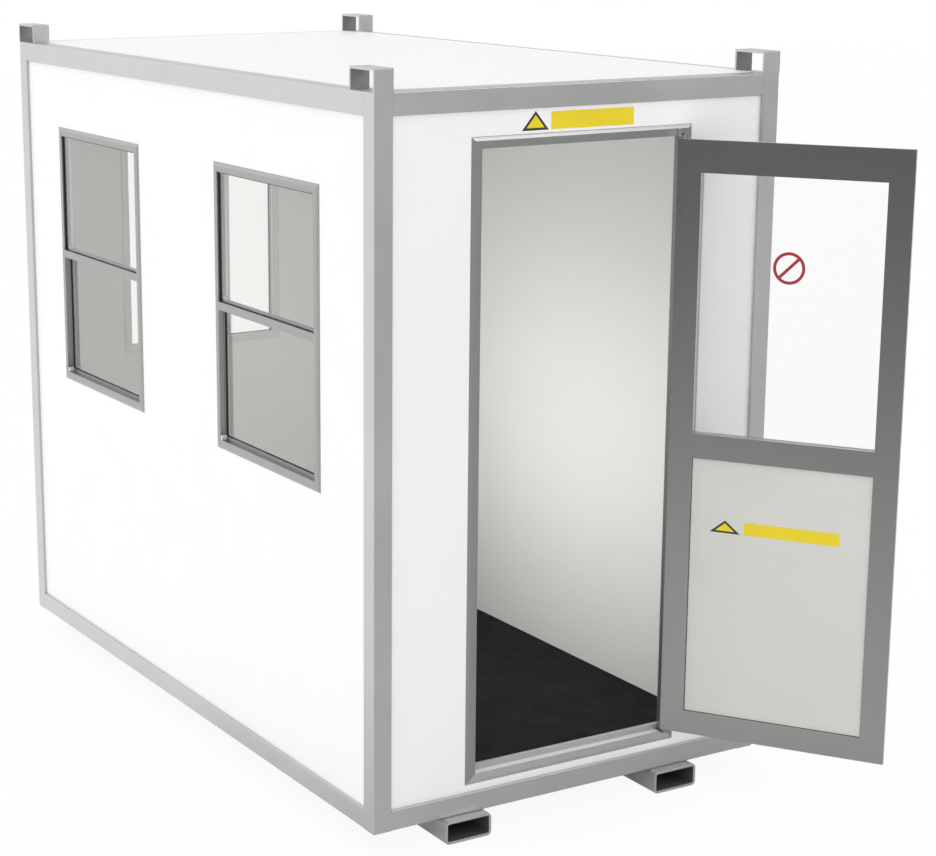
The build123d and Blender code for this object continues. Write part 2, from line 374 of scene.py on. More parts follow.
@dataclass(frozen=True)
class Extrusion:
    """Anodised aluminium extrusion: fine die lines along the bar and a satin, dark-grey sheen."""

    name: str
    dark: str
    light: str
    grain: Grain = Grain.UPRIGHT
    roughness: float = 0.34
    line_mm: float = 2.5
    line_length_mm: float = 700.0
    turn: float = 0.0
    edge_mm: float = 1.2
    metallic: float = 1.0

    def stretch(self) -> tuple[float, float, float]:
        """The scale that draws the noise out along the grain."""
        ratio = self.line_mm / self.line_length_mm
        return tuple(ratio if axis == self.grain.value else 1.0 for axis in "XYZ")

    def tone(self, tree: bpy.types.NodeTree, lines: bpy.types.NodeSocket) -> bpy.types.NodeSocket:
        """The colour, which follows the die lines."""
        return shade(tree, self.dark, self.light, lines)

    def build(self) -> bpy.types.Material:
        """Build the metal: die lines in tone, roughness and bump, and rounded arrises.

        Returns:
            The material.
        """
        material, tree, output = new_material(self.name)
        point = object_point(tree, self.stretch(), self.turn)
        lines = spread(tree, noise(tree, point, self.line_mm, 2.0), 0.0, 1.0)
        rough = spread(tree, lines, self.roughness - 0.04, self.roughness + 0.04)
        normal = relief(tree, lines, 0.006, soft_edges(tree, self.edge_mm))
        shader = add_node(
            tree,
            "ShaderNodeBsdfPrincipled",
            {"Metallic": self.metallic},
            {"Base Color": self.tone(tree, lines), "Roughness": rough, "Normal": normal},
        )
        tree.links.new(shader.outputs[0], output.inputs["Surface"])
        return material


@dataclass(frozen=True)
class LeafExtrusion(Extrusion):
    """The leaf's extrusion, with painted light that makes it paler towards its foot."""

    # The paler colour of the painted light at the foot of the leaf.
    pale_mix: str = "b6b6b5"
    painted_light_low: float = 0.3
    painted_light_high: float = 2.3
    painted_light_power: float = 1.5

    def tone(self, tree: bpy.types.NodeTree, lines: bpy.types.NodeSocket) -> bpy.types.NodeSocket:
        """The colour, with painted light that makes it lighter towards the foot of the leaf.

        Args:
            tree: The node tree.
            lines: The die lines.

        Returns:
            The colour socket.
        """
        metal = shade(tree, self.dark, self.light, lines)
        place = add_node(tree, "ShaderNodeTexCoord").outputs["Object"]
        height = add_node(tree, "ShaderNodeSeparateXYZ", None, {0: place}).outputs["Z"]
        values = {"From Min": self.painted_light_high, "From Max": self.painted_light_low, "To Min": 0.0, "To Max": 1.0}
        # Painted light: the share of the paler colour, from nought at the top to one at the foot.
        film = add_node(tree, "ShaderNodeMapRange", values, {"Value": height}).outputs["Result"]
        film = add_node(tree, "ShaderNodeMath", {1: self.painted_light_power}, {0: film}, operation="POWER")
        node = add_node(tree, "ShaderNodeMix", None, {0: film.outputs[0], 6: metal}, data_type="RGBA")
        node.inputs[7].default_value = linear(self.pale_mix)
        return node.outputs[2]


@dataclass(frozen=True)
class FloatGlass:
    """Clear float glass: polished, with the faint green of its iron."""

    name: str = "float_glass"
    tint: str = "fbfcfa"
    ior: float = 1.5

    def build(self) -> bpy.types.Material:
        """Build the glass as one clear polished shader.

        Returns:
            The material.
        """
        material, tree, output = new_material(self.name)
        point = object_point(tree)
        # Drawn float glass has waves tens of centimetres wide and far too shallow to see square on.
        wave = relief(tree, noise(tree, point, 260.0, 1.0), 0.02)
        shader = add_node(
            tree,
            "ShaderNodeBsdfPrincipled",
            {
                "Transmission Weight": 1.0,
                "Roughness": 0.0,
                "IOR": self.ior,
                "Base Color": linear(self.tint),
            },
            {"Normal": wave},
        )
        tree.links.new(shader.outputs[0], output.inputs["Surface"])
        return material


@dataclass(frozen=True)
class PlainStock:
    """A moulded, rolled or sawn material: one tone with clouds and a fine grain of its own width."""

    name: str
    dark: str
    light: str
    roughness: float
    grain_mm: float
    depth_mm: float
    cloud_mm: float = 120.0
    metallic: float = 0.0
    stretch: tuple[float, float, float] = (1.0, 1.0, 1.0)
    shine: float = 0.5

    def build(self) -> bpy.types.Material:
        """Build the stock with its clouds and grain.

        Returns:
            The material.
        """
        material, tree, output = new_material(self.name)
        point = object_point(tree, self.stretch)
        clouds = spread(tree, noise(tree, point, self.cloud_mm), 0.0, 1.0)
        grain = noise(tree, point, self.grain_mm)
        rough = spread(tree, clouds, self.roughness - 0.04, self.roughness + 0.04)
        shader = add_node(
            tree,
            "ShaderNodeBsdfPrincipled",
            {"Metallic": self.metallic, "Specular IOR Level": self.shine},
            {
                "Base Color": shade(tree, self.dark, self.light, clouds),
                "Roughness": rough,
                "Normal": relief(tree, grain, self.depth_mm),
            },
        )
        tree.links.new(shader.outputs[0], output.inputs["Surface"])
        return material


class Finishes:
    """Every finish of the cabin, built once."""

    def __init__(self, door_turn: float) -> None:
        """Build the finishes.

        Args:
            door_turn: The angle in degrees that the open leaf is turned.
        """
        self.frame_paint = PaintedSteel().build()
        # Painted shade: the same paint, darker on the inner walls of the lift tubes and lifting eyes, where
        # shade falls.
        self.frame_inside_shade = PaintedSteel("painted_steel_shaded_inside", "929292", "9a9a9a").build()
        self.panel = CoatedSheet().build()
        # Mill aluminium, extruded: mid grey, and each bar has its own die lines.
        frame_tones = ("9e9e9e", "a6a6a6")
        self.frame_bars = {
            grain: Extrusion(
                f"door_frame_extrusion_{grain.name.lower()}", *frame_tones, grain, metallic=0.8
            ).build()
            for grain in (Grain.ACROSS, Grain.UPRIGHT)
        }
        # Mill aluminium on the threshold, paler and duller than the rest; its level ledge is a painted
        # highlight, near white and not metallic.
        across = Grain.ACROSS
        self.sill = Extrusion("threshold_extrusion", "b8b8b8", "c0c0c0", across, metallic=0.5).build()
        self.sill_ledge_highlight = Extrusion("threshold_ledge_highlight", "f6f6f4", "f8f8f7", across, metallic=0.0).build()
        # Pale aluminium for the leaf's edge faces, where it paints the highlight of their rounds, and for
        # its glazing bead.
        self.leaf_edge_highlight = Extrusion("leaf_edge_highlight_extrusion", "cacaca", "d0d0d0", metallic=0.6).build()
        # Anodised window sections: satin grey.
        self.window_bars = Extrusion("window_extrusion", "9c9c9b", "a3a3a2", Grain.UPRIGHT, 0.36).build()
        # Powder-coated aluminium trim on the lining: off-white.
        self.trim_bars = Extrusion("window_trim", "dcdcd8", "e2e2de", metallic=0.0).build()
        # The leaf's grey, with painted light that makes it paler towards its foot.
        self.leaf = LeafExtrusion("leaf_extrusion", "666667", "686869", turn=-door_turn).build()
        self.glass = FloatGlass().build()
        self.window_glass = FloatGlass("float_glass_window", "f6f7f5").build()
        # Coated infill board: matt, warm grey.
        self.infill = PlainStock("coated_infill", "d6d6cf", "dadad4", 0.55, 3.0, 0.01, 300.0).build()
        # Sheet vinyl: black, matt, with a fine pressed grain.
        self.vinyl = PlainStock("sheet_vinyl", "1b1b1b", "1d1d1d", 0.7, 6.0, 0.06, shine=0.12).build()
        # Phenol-faced plywood: brown, with grain drawn out across the cabin.
        grain = (0.1, 1.0, 1.0)
        self.board = PlainStock(
            "deck_plywood", "5d4431", "6f5440", 0.7, 8.0, 0.15, 60.0, stretch=grain
        ).build()
        # Zinc-plated steel: pale and bright with a cloudy bloom.
        self.zinc = PlainStock(
            "zinc_plated_steel", "9fa0a1", "abacad", 0.35, 4.0, 0.01, 18.0, metallic=1.0
        ).build()
        # Extruded rubber: black, matt.
        self.rubber = PlainStock("glazing_rubber", "26272a", "2e2f31", 0.55, 2.0, 0.02).build()
        # Moulded polyamide: white with a fine spark-eroded skin.
        self.polyamide = PlainStock("polyamide_white", "e4e4e1", "ebebe8", 0.4, 1.5, 0.01).build()
        # Printed vinyl film: strong flat colour with a slight gloss.
        self.yellow_film = PlainStock("film_yellow", "ecd313", "f2da1c", 0.4, 3.0, 0.004).build()
        self.black_film = PlainStock("film_black", "34332c", "3c3b33", 0.4, 3.0, 0.004).build()
        self.red_film = PlainStock("film_red", "a81f32", "b5273a", 0.4, 3.0, 0.004).build()


@dataclass(frozen=True)
class Place:
    """A wall-like place: local X to the right, local Z up, local -Y out of the wall."""

    origin: Vector
    yaw: float

    def matrix(self) -> Matrix:
        """The move from the local place to the cabin's frame."""
        return Matrix.Translation(self.origin) @ Matrix.Rotation(math.radians(self.yaw), 4, "Z")


@dataclass(frozen=True)
class Pane:
    """One sheet in its opening, in the local place of its wall."""

    low: Vector
    high: Vector


def islands(node: str, into: Matrix) -> list[Pane]:
    """The boxes of a node's separate solids.

    Args:
        node: The CAD node.
        into: The move to the local place.

    Returns:
        One pane for each solid, lowest first.
    """
    bm = bmesh.new()
    bm.from_mesh(frame["nodes"][node].data)
    bmesh.ops.transform(bm, matrix=into, verts=bm.verts)
    bmesh.ops.remove_doubles(bm, verts=bm.verts, dist=MM / 100)
    left = set(bm.verts)
    panes = []
    while left:
        group = {left.pop()}
        edge = set(group)
        while edge:
            found = {e.other_vert(v) for v in edge for e in v.link_edges} - group
            group |= found
            edge = found
        left -= group
        low = Vector([min(v.co[i] for v in group) for i in range(3)])
        high = Vector([max(v.co[i] for v in group) for i in range(3)])
        panes.append(Pane(low, high))
    bm.free()
    return sorted(panes, key=lambda pane: pane.low.z)


def as_piece(
    name: str, bm: bmesh.types.BMesh, place: Matrix, material: bpy.types.Material, body: str
) -> None:
    """Turn a bmesh into a finished piece that rides on a body.

    Args:
        name: The piece's name.
        bm: The shape, which is freed.
        place: The move to the cabin's frame.
        material: The finish.
        body: The body that carries it.
    """
    bmesh.ops.transform(bm, matrix=place, verts=bm.verts)
    bmesh.ops.recalc_face_normals(bm, faces=bm.faces)
    mesh = bpy.data.meshes.new(name)
    bm.to_mesh(mesh)
    bm.free()
    piece = bpy.data.objects.new(name, mesh)
    bpy.context.scene.collection.objects.link(piece)
    mesh.materials.append(material)
    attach(piece, body)
    LOG.info("%s: %d faces", name, len(mesh.polygons))


def add_plate(bm: bmesh.types.BMesh, low: Vector, high: Vector) -> None:
    """Add a flat-sided block between two corners.

    Args:
        bm: The bmesh that takes it.
        low: The lowest corner.
        high: The highest corner.
    """
    size = high - low
    matrix = Matrix.Translation((low + high) / 2) @ Matrix.Diagonal((*size, 1.0))
    bmesh.ops.create_cube(bm, size=1.0, matrix=matrix)


def round_edges(bm: bmesh.types.BMesh, radius: float, segments: int = 2) -> None:
    """Round every sharp edge.

    Args:
        bm: The shape.
        radius: The radius in metres.
        segments: The steps round each edge.
    """
    sharp = [e for e in bm.edges if len(e.link_faces) == 2 and e.calc_face_angle() > math.radians(30)]
    bmesh.ops.bevel(
        bm,
        geom=sharp,
        offset=radius,
        offset_type="OFFSET",
        segments=segments,
        profile=0.5,
        affect="EDGES",
        material=-1,
        clamp_overlap=True,
    )


def add_sheet(
    bm: bmesh.types.BMesh, width: float, height: float, place: Matrix = Matrix()
) -> list[bmesh.types.BMFace]:
    """Add a flat rectangle that stands in the XZ plane.

    Args:
        bm: The bmesh that takes it.
        width: Its width, along X.
        height: Its height, along Z.
        place: The move of its middle.

    Returns:
        Its faces.
    """
    upright = Matrix.Rotation(math.radians(90), 4, "X") @ Matrix.Diagonal((width, height, 1.0, 1.0))
    made = bmesh.ops.create_grid(bm, x_segments=1, y_segments=1, size=0.5, matrix=place @ upright)
    return list({f for v in made["verts"] for f in v.link_faces})


def push_out(bm: bmesh.types.BMesh, depth: float) -> None:
    """Give flat faces in the XZ plane a thickness.

    Args:
        bm: The faces.
        depth: The thickness, towards -Y.
    """
    grown = bmesh.ops.extrude_face_region(bm, geom=list(bm.faces))
    moved = [g for g in grown["geom"] if isinstance(g, bmesh.types.BMVert)]
    bmesh.ops.translate(bm, vec=(0.0, -depth, 0.0), verts=moved)


def rim(width: float, height: float, band: float, depth: float) -> bmesh.types.BMesh:
    """A flat band round the inside of a rectangle, pushed out to a depth.

    Args:
        width: The outer width, along X.
        height: The outer height, along Z.
        band: The width of the band.
        depth: The depth, towards -Y from y = 0.

    Returns:
        The band, centred on X and Z.
    """
    bm = bmesh.new()
    faces = add_sheet(bm, width, height)
    bmesh.ops.inset_region(bm, faces=faces, thickness=band, use_boundary=True, use_even_offset=True)
    bmesh.ops.delete(bm, geom=faces, context="FACES_ONLY")
    push_out(bm, depth)
    return bm


def dress(nodes: tuple[str, ...] | list[str], material: bpy.types.Material) -> None:
    """Give CAD nodes a finish.

    Args:
        nodes: The node names.
        material: The finish.
    """
    for name in nodes:
        mesh = frame["nodes"][name].data
        mesh.materials.clear()
        mesh.materials.append(material)
        LOG.info("%s: %s", name, material.name)


def dress_some(
    node: str, material: bpy.types.Material, chosen: Callable[[bpy.types.MeshPolygon], bool]
) -> None:
    """Give a second finish to some faces of a CAD node.

    Args:
        node: The node name.
        material: The second finish.
        chosen: Says whether a face takes it.
    """
    mesh = frame["nodes"][node].data
    mesh.materials.append(material)
    for face in mesh.polygons:
        if chosen(face):
            face.material_index = 1


@dataclass
class SteelFrame:
    """Posts, rails, lift tubes and lifting eyes, with the welds ground flush and painted shade inside the
    tubes and eyes.
    """

    finishes: Finishes
    weld_width: float = 4.4 * MM
    weld_depth: float = 4.0 * MM
    weld_sink: float = 0.05 * MM
    weld_end: float = 2.0 * MM
    inner_cosine: float = 0.3

    def dress_inside_shade(self, node: str, through: int) -> None:
        """Give the inner walls of an open section a darker paint, as painted shade.

        Args:
            node: The node name.
            through: The axis along which the section is open, as a number.
        """
        low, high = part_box(node)
        middle = (low + high) / 2
        across = Vector([float(axis != through) for axis in range(3)])
        dress_some(
            node,
            self.finishes.frame_inside_shade,
            lambda face: face.normal.dot(((middle - face.center) * across).normalized()) > self.inner_cosine,
        )

    def add_welds(self, bm: bmesh.types.BMesh, rail: str) -> None:
        """Fill the grooves between the rounded corners of the posts and the ends of a rail.

        Args:
            bm: The bmesh that takes the welds.
            rail: The rail's node name.
        """
        low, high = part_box(rail)
        along, across = (0, 1) if rail.endswith(("front", "back")) else (1, 0)
        outer = low[across] if rail.endswith(("front", "left")) else high[across]
        inward = -math.copysign(1.0, outer)
        sides = sorted((outer + inward * self.weld_sink, outer + inward * self.weld_depth))
        for start in (low[along] - self.weld_width, high[along]):
            corner, far = low.copy(), high.copy()
            corner[along], far[along] = start, start + self.weld_width
            corner[across], far[across] = sides
            corner.z += self.weld_end
            far.z -= self.weld_end
            add_plate(bm, corner, far)

    def build(self) -> None:
        """Dress the frame and add its welds."""
        starts = ("post_", "base_rail_", "roof_rail_", "lift_tube_", "lifting_eye_")
        dress([n for n in frame["nodes"] if n.startswith(starts)], self.finishes.frame_paint)
        # Painted shade on the inner walls of the lift tubes and lifting eyes.
        for start, through in (("lift_tube_", 1), ("lifting_eye_", 0)):
            for node in [n for n in frame["nodes"] if n.startswith(start)]:
                self.dress_inside_shade(node, through)
        bm = bmesh.new()
        for rail in [n for n in frame["nodes"] if "_rail_" in n]:
            self.add_welds(bm, rail)
        as_piece("frame_welds", bm, Matrix(), self.finishes.frame_paint, "cabin")


@dataclass
class Envelope:
    """Wall, roof and floor panels."""

    finishes: Finishes

    def build(self) -> None:
        """Dress the panels, the deck and its covering."""
        dress([*WALL_NODES, "roof_panel"], self.finishes.panel)
        dress(["floor_covering"], self.finishes.vinyl)
        dress(["floor_deck"], self.finishes.board)


@dataclass
class Glazing:
    """Rubber strips that hold the panes of one node, inside and out."""

    node: str
    place: Place
    finishes: Finishes
    band: float = 1.3 * MM
    outer_depth: float = 3.0 * MM
    inner_depth: float = 3.0 * MM

    def strip(self, name: str, pane: Pane, face: float, depth: float) -> None:
        """Make one strip round a pane.

        Args:
            name: The strip's name.
            pane: The pane.
            face: The local Y of the pane's face.
            depth: How far the strip stands off it, towards -Y, or inwards if negative.
        """
        size = pane.high - pane.low
        middle = (pane.low + pane.high) / 2
        bm = rim(size.x, size.z, self.band, depth)
        place = self.place.matrix() @ Matrix.Translation((middle.x, face, middle.z))
        as_piece(name, bm, place, self.finishes.rubber, "cabin")

    def build(self) -> list[Pane]:
        """Make the strips of every pane.

        Returns:
            The panes, lowest first.
        """
        dress([self.node], self.finishes.window_glass)
        panes = islands(self.node, self.place.matrix().inverted())
        for number, pane in enumerate(panes):
            name = f"{self.node}_strip_{number}"
            self.strip(name + "_out", pane, pane.low.y, self.outer_depth)
            self.strip(name + "_in", pane, pane.high.y, -self.inner_depth)
        return panes


@dataclass
class Window:
    """A window: frame, sashes, panes, rubber strips and white mouldings."""

    name: str
    yaw: Yaw
    finishes: Finishes
    stop_width: float = 12.0 * MM
    stop_height: float = 16.0 * MM
    latch_width: float = 30.0 * MM
    latch_height: float = 10.0 * MM
    latch_gap: float = 6.0 * MM
    mould_lap: float = 3.0 * MM
    stop_out: float = 7.0 * MM
    stop_in: float = 5.0 * MM
    trim_band: float = 30.0 * MM
    trim_depth: float = 5.0 * MM
    lining_depth: float = 45.0 * MM
    face_width: float = 33.0 * MM
    slides: bool = True

    def place(self) -> Place:
        """The local place, with its origin on the frame's foot corner.

        Returns:
            The place.
        """
        low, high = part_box(self.name + "_frame")
        corner = {
            Yaw.LEFT: Vector((low.x, high.y, low.z)),
            Yaw.BACK: Vector((high.x, high.y, low.z)),
        }[self.yaw]
        return Place(corner, self.yaw.value)

    def moulding(self, name: str, low: Vector, high: Vector) -> None:
        """Make a small white moulding between two corners of the local place.

        Args:
            name: The moulding's name.
            low: The lowest corner.
            high: The highest corner.
        """
        bm = bmesh.new()
        add_plate(bm, low, high)
        round_edges(bm, 1.5 * MM)
        as_piece(name, bm, self.place().matrix(), self.finishes.polyamide, "cabin")

    def add_mouldings(self, lower: Pane, upper: Pane) -> None:
        """Put the end stop on the frame's foot and the latch on the lower sash.

        Args:
            lower: The lower, inner pane.
            upper: The upper, outer pane.
        """
        foot = self.place().matrix().inverted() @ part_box(self.name + "_lower_sash")[0]
        left = lower.low.x - self.mould_lap
        stop_low = Vector((left, upper.low.y - self.stop_out, foot.z))
        stop_high = Vector((left + self.stop_width, lower.low.y - self.stop_in, foot.z + self.stop_height))
        self.moulding(self.name + "_end_stop", stop_low, stop_high)
        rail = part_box(self.name + "_lower_sash")[1].z - self.place().origin.z
        latch_low = Vector((left, upper.high.y + self.latch_gap, rail))
        latch_high = Vector((left + self.latch_width, lower.high.y, rail + self.latch_height))
        self.moulding(self.name + "_latch", latch_low, latch_high)

    def add_trim(self) -> None:
        """Put the flat trim round the opening on the lining inside the room."""
        low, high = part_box(self.name + "_frame")
        width = max(high.x - low.x, high.y - low.y)
        height = high.z - low.z
        spare = 2 * (self.trim_band - self.face_width)
        bm = rim(width + spare, height + spare, self.trim_band, -self.trim_depth)
        middle = Matrix.Translation((width / 2, self.lining_depth, height / 2))
        place = self.place().matrix() @ middle
        name = self.name + "_trim"
        as_piece(name, bm, place, self.finishes.trim_bars, "cabin")

    def build(self) -> None:
        """Dress the window and add its strips, trim and mouldings."""
        self.add_trim()
        bars = [n for n in frame["nodes"] if n.startswith(self.name) and not n.endswith("_glass")]
        dress(bars, self.finishes.window_bars)
        panes = Glazing(self.name + "_glass", self.place(), self.finishes).build()
        if self.slides:
            self.add_mouldings(*panes)


@dataclass
class Sticker:
    """A blank film sticker on a wall-like place; sizes in metres."""

    name: str
    place: Matrix
    finishes: Finishes
    body: str
    film: float = 0.4 * MM

    def sheet(
        self, outline: bmesh.types.BMesh, tag: str, material: bpy.types.Material, lift: float = 0.0
    ) -> None:
        """Give a flat outline the film's thickness and place it.

        Args:
            outline: Flat faces in the XZ plane.
            tag: What the piece's name ends with.
            material: The film's colour.
            lift: How far off the panel it starts.
        """
        push_out(outline, self.film)
        bmesh.ops.translate(outline, vec=(0.0, -lift, 0.0), verts=outline.verts)
        as_piece(f"{self.name}_{tag}", outline, self.place, material, self.body)

    def strip(self, x0: float, x1: float, z0: float, z1: float) -> None:
        """A plain yellow strip between two corners.

        Args:
            x0: The left edge.
            x1: The right edge.
            z0: The lower edge.
            z1: The upper edge.
        """
        bm = bmesh.new()
        centre = Matrix.Translation(((x0 + x1) / 2, 0.0, (z0 + z1) / 2))
        add_sheet(bm, x1 - x0, z1 - z0, centre)
        self.sheet(bm, "strip", self.finishes.yellow_film)

    def triangle(self, x0: float, x1: float, z0: float, z1: float, border: float) -> None:
        """A plain yellow triangle with a dark border.

        Args:
            x0: The left end of its foot.
            x1: The right end of its foot.
            z0: The height of its foot.
            z1: The height of its tip.
            border: The width of the border.
        """
        for tag, material, inset, lift in (
            ("border", self.finishes.black_film, 0.0, 0.0),
            ("triangle", self.finishes.yellow_film, border, self.film),
        ):
            bm = bmesh.new()
            corners = [(x0, z0), (x1, z0), ((x0 + x1) / 2, z1)]
            face = bm.faces.new([bm.verts.new((x, 0.0, z)) for x, z in corners])
            bm.normal_update()
            if inset:
                bmesh.ops.inset_region(
                    bm, faces=[face], thickness=inset, use_boundary=True, use_even_offset=True
                )
                bmesh.ops.delete(bm, geom=[f for f in bm.faces if f != face], context="FACES")
            self.sheet(bm, tag, material, lift)

    def ring(self, centre_x: float, centre_z: float, radius: float, band: float) -> None:
        """A plain red ring with a bar across it.

        Args:
            centre_x: The centre's X.
            centre_z: The centre's Z.
            radius: The outer radius.
            band: The width of the ring and the bar.
        """
        bm = bmesh.new()
        start = Vector((radius - band, 0.0, 0.0))
        foot = bm.edges.new((bm.verts.new(start), bm.verts.new(start + Vector((band, 0.0, 0.0)))))
        bmesh.ops.spin(
            bm,
            geom=[foot, *foot.verts],
            axis=(0.0, 1.0, 0.0),
            cent=(0.0, 0.0, 0.0),
            angle=math.tau,
            steps=64,
            use_merge=True,
        )
        centre = Matrix.Translation((centre_x, 0.0, centre_z))
        bmesh.ops.transform(bm, matrix=centre, verts=bm.verts)
        self.sheet(bm, "ring", self.finishes.red_film)
        bar = bmesh.new()
        add_sheet(bar, 2 * (radius - band), band, centre @ Matrix.Rotation(math.radians(-45), 4, "Y"))
        self.sheet(bar, "ring_bar", self.finishes.red_film)


@dataclass
class Door:
    """Door frame, leaf, its glass and infill, its pivots and stickers."""

    finishes: Finishes
    joint: dict
    upstand_least: float = 5.0 * MM
    level_cosine: float = 0.95
    edge_cosine: float = 0.3
    plug_radius: float = 4.4 * MM
    plug_length: float = 2.2 * MM
    plug_beside: float = 8.5 * MM
    plug_proud: float = 1.2 * MM
    plug_drop: float = 18.0 * MM
    strip_band: float = 2.0 * MM
    bead_depths: tuple[float, float] = (1.5 * MM, 3.0 * MM)
    strip_depths: tuple[float, float] = (1.5 * MM, 1.0 * MM)
    sign_foot: float = 652.0 * MM
    sign_height: float = 43.5 * MM
    triangle_ends: tuple[float, float] = (69.0 * MM, 174.0 * MM)
    strip_ends: tuple[float, float] = (187.0 * MM, 512.0 * MM)
    border: float = 7.0 * MM
    ring_place: tuple[float, float] = (300.0 * MM, 1877.0 * MM)
    ring_radius: float = 53.5 * MM
    ring_band: float = 10.5 * MM

    def swing(self) -> Matrix:
        """The move from the closed leaf to the open one that the frame shows.

        Returns:
            The move.
        """
        pivot = Vector(self.joint["pos_m"])
        turn = Matrix.Rotation(math.radians(-self.joint["range_deg"][0]), 4, "Z")
        return Matrix.Translation(pivot) @ turn @ Matrix.Translation(-pivot)

    def dress_frame(self) -> None:
        """Dress the door frame, each bar with its own grain."""
        bars = self.finishes.frame_bars
        dress(["door_frame_head"], bars[Grain.ACROSS])
        dress(["door_threshold"], self.finishes.sill)
        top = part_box("door_threshold")[1].z - self.upstand_least
        # The ledge's level faces below the upstand take a painted highlight.
        dress_some(
            "door_threshold",
            self.finishes.sill_ledge_highlight,
            lambda face: abs(face.normal.z) >= self.level_cosine and face.center.z < top,
        )
        dress(["door_frame_jamb_left", "door_frame_jamb_right"], bars[Grain.UPRIGHT])
        dress(["door_pivots"], self.finishes.zinc)

    def plug_tab(self) -> None:
        """Close the hole of the upper pivot's tab with a black plug."""
        pivot = Vector(self.joint["pos_m"])
        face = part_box("door_frame_head")[0].y
        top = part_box("door_pivots")[1].z
        place = Vector((pivot.x + self.plug_beside, face - self.plug_proud, top - self.plug_drop))
        bm = bmesh.new()
        bmesh.ops.create_cone(
            bm,
            cap_ends=True,
            segments=24,
            radius1=self.plug_radius,
            radius2=self.plug_radius,
            depth=self.plug_length,
            matrix=Matrix.Translation(place) @ Matrix.Rotation(math.radians(90), 4, "X"),
        )
        as_piece("pivot_tab_plug", bm, Matrix(), self.finishes.rubber, "cabin")

    def seal(
        self,
        node: str,
        name: str,
        depths: tuple[float, float],
        material: bpy.types.Material,
    ) -> Pane:
        """Make the strips round one sheet of the leaf.

        Args:
            node: The sheet's node.
            name: The strips' name.
            depths: How far the outer and the inner strip stand off the sheet.
            material: The strips' finish.

        Returns:
            The sheet in the closed leaf's place.
        """
        swing = self.swing()
        sheet = islands(node, swing.inverted())[0]
        size = sheet.high - sheet.low
        middle = (sheet.low + sheet.high) / 2
        outer, inner = depths
        for tag, face, depth in (("out", sheet.low.y, outer), ("in", sheet.high.y, -inner)):
            bm = rim(size.x, size.z, self.strip_band, depth)
            place = swing @ Matrix.Translation((middle.x, face, middle.z))
            as_piece(f"{name}_{tag}", bm, place, material, "door")
        return sheet

    def build(self) -> None:
        """Dress the door and add its strips."""
        self.dress_frame()
        self.plug_tab()
        dress(["door_leaf"], self.finishes.leaf)
        # The leaf's edge faces take the pale finish as a painted highlight.
        flat = self.swing().to_3x3() @ Vector((0.0, 1.0, 0.0))
        edges = self.finishes.leaf_edge_highlight
        dress_some("door_leaf", edges, lambda face: abs(face.normal.dot(flat)) <= self.edge_cosine)
        dress(["door_glass"], self.finishes.glass)
        dress(["door_lower_panel"], self.finishes.infill)
        bead, rubber = self.finishes.leaf_edge_highlight, self.finishes.rubber
        glass = self.seal("door_glass", "door_glass_bead", self.bead_depths, bead)
        infill = self.seal(
            "door_lower_panel", "door_infill_strip", self.strip_depths, rubber
        )
        self.add_stickers(glass, infill)

    def add_stickers(self, glass: Pane, infill: Pane) -> None:
        """Put the blank stickers on the inner side of the leaf.

        Args:
            glass: The pane in the closed leaf's place.
            infill: The infill in the closed leaf's place.
        """
        turned = Matrix.Rotation(math.pi, 4, "Z")
        hinge_x = infill.high.x
        on_infill = self.swing() @ Matrix.Translation((hinge_x, infill.high.y, 0.0)) @ turned
        low = infill.low.z + self.sign_foot
        high = low + self.sign_height
        signs = Sticker("leaf_sticker", on_infill, self.finishes, "door")
        signs.triangle(*self.triangle_ends, low, high, self.border)
        signs.strip(*self.strip_ends, low, high)
        on_glass = self.swing() @ Matrix.Translation((hinge_x, glass.high.y, 0.0)) @ turned
        ring = Sticker("glass_sticker", on_glass, self.finishes, "door")
        ring.ring(*self.ring_place, self.ring_radius, self.ring_band)


@dataclass
class FrontSigns:
    """Blank stickers over the door."""

    finishes: Finishes
    gap: float = 9.0 * MM
    triangle_ends: tuple[float, float] = (189.0 * MM, 292.0 * MM)
    triangle_height: float = 61.0 * MM
    border: float = 8.0 * MM
    strip_ends: tuple[float, float] = (301.0 * MM, 626.0 * MM)
    strip_height: float = 57.0 * MM

    def build(self) -> None:
        """Put the triangle and the strip on the panel over the door frame."""
        head_low, head_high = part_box("door_frame_head")
        foot = head_high.z + self.gap
        place = Matrix.Translation((head_low.x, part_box("wall_front_over")[0].y, 0.0))
        signs = Sticker("front_sticker", place, self.finishes, "cabin")
        signs.triangle(*self.triangle_ends, foot, foot + self.triangle_height, self.border)
        signs.strip(*self.strip_ends, foot, foot + self.strip_height)


@dataclass(frozen=True)
class SoftBox:
    """A soft box: what it is aimed at, how far away it stands, and the rays that don't see it."""

    name: str
    aim: Vector
    away: Vector
    size: tuple[float, float]
    watts: float
    hidden_from: tuple[str, ...]


# Two boxes show in the sloping lips and the rails, one lights the front wall and one the room.
SOFT_BOXES = (
    SoftBox(
        "box_lip",
        Vector((0.0, -1.42, 2.3)),
        9.0 * Vector((0.49, -0.776, 0.39)),
        (3.0, 1.2),
        150.0,
        ("diffuse",),
    ),
    SoftBox(
        "box_left",
        Vector((-0.79, 0.0, 2.1)),
        9.0 * Vector((-0.519, 0.839, 0.16)),
        (2.5, 0.8),
        20.0,
        ("diffuse",),
    ),
    SoftBox(
        "box_front", Vector((0.0, -1.4, 1.3)), Vector((7.5, -5.1, 1.5)), (5.0, 4.0), 165.0, ("glossy",)
    ),
    SoftBox(
        "box_room",
        Vector((1.0, -0.3, 0.98)),
        Vector((-1.4, 0.0, 0.02)),
        (1.3, 0.8),
        10.5,
        ("glossy", "transmission"),
    ),
)


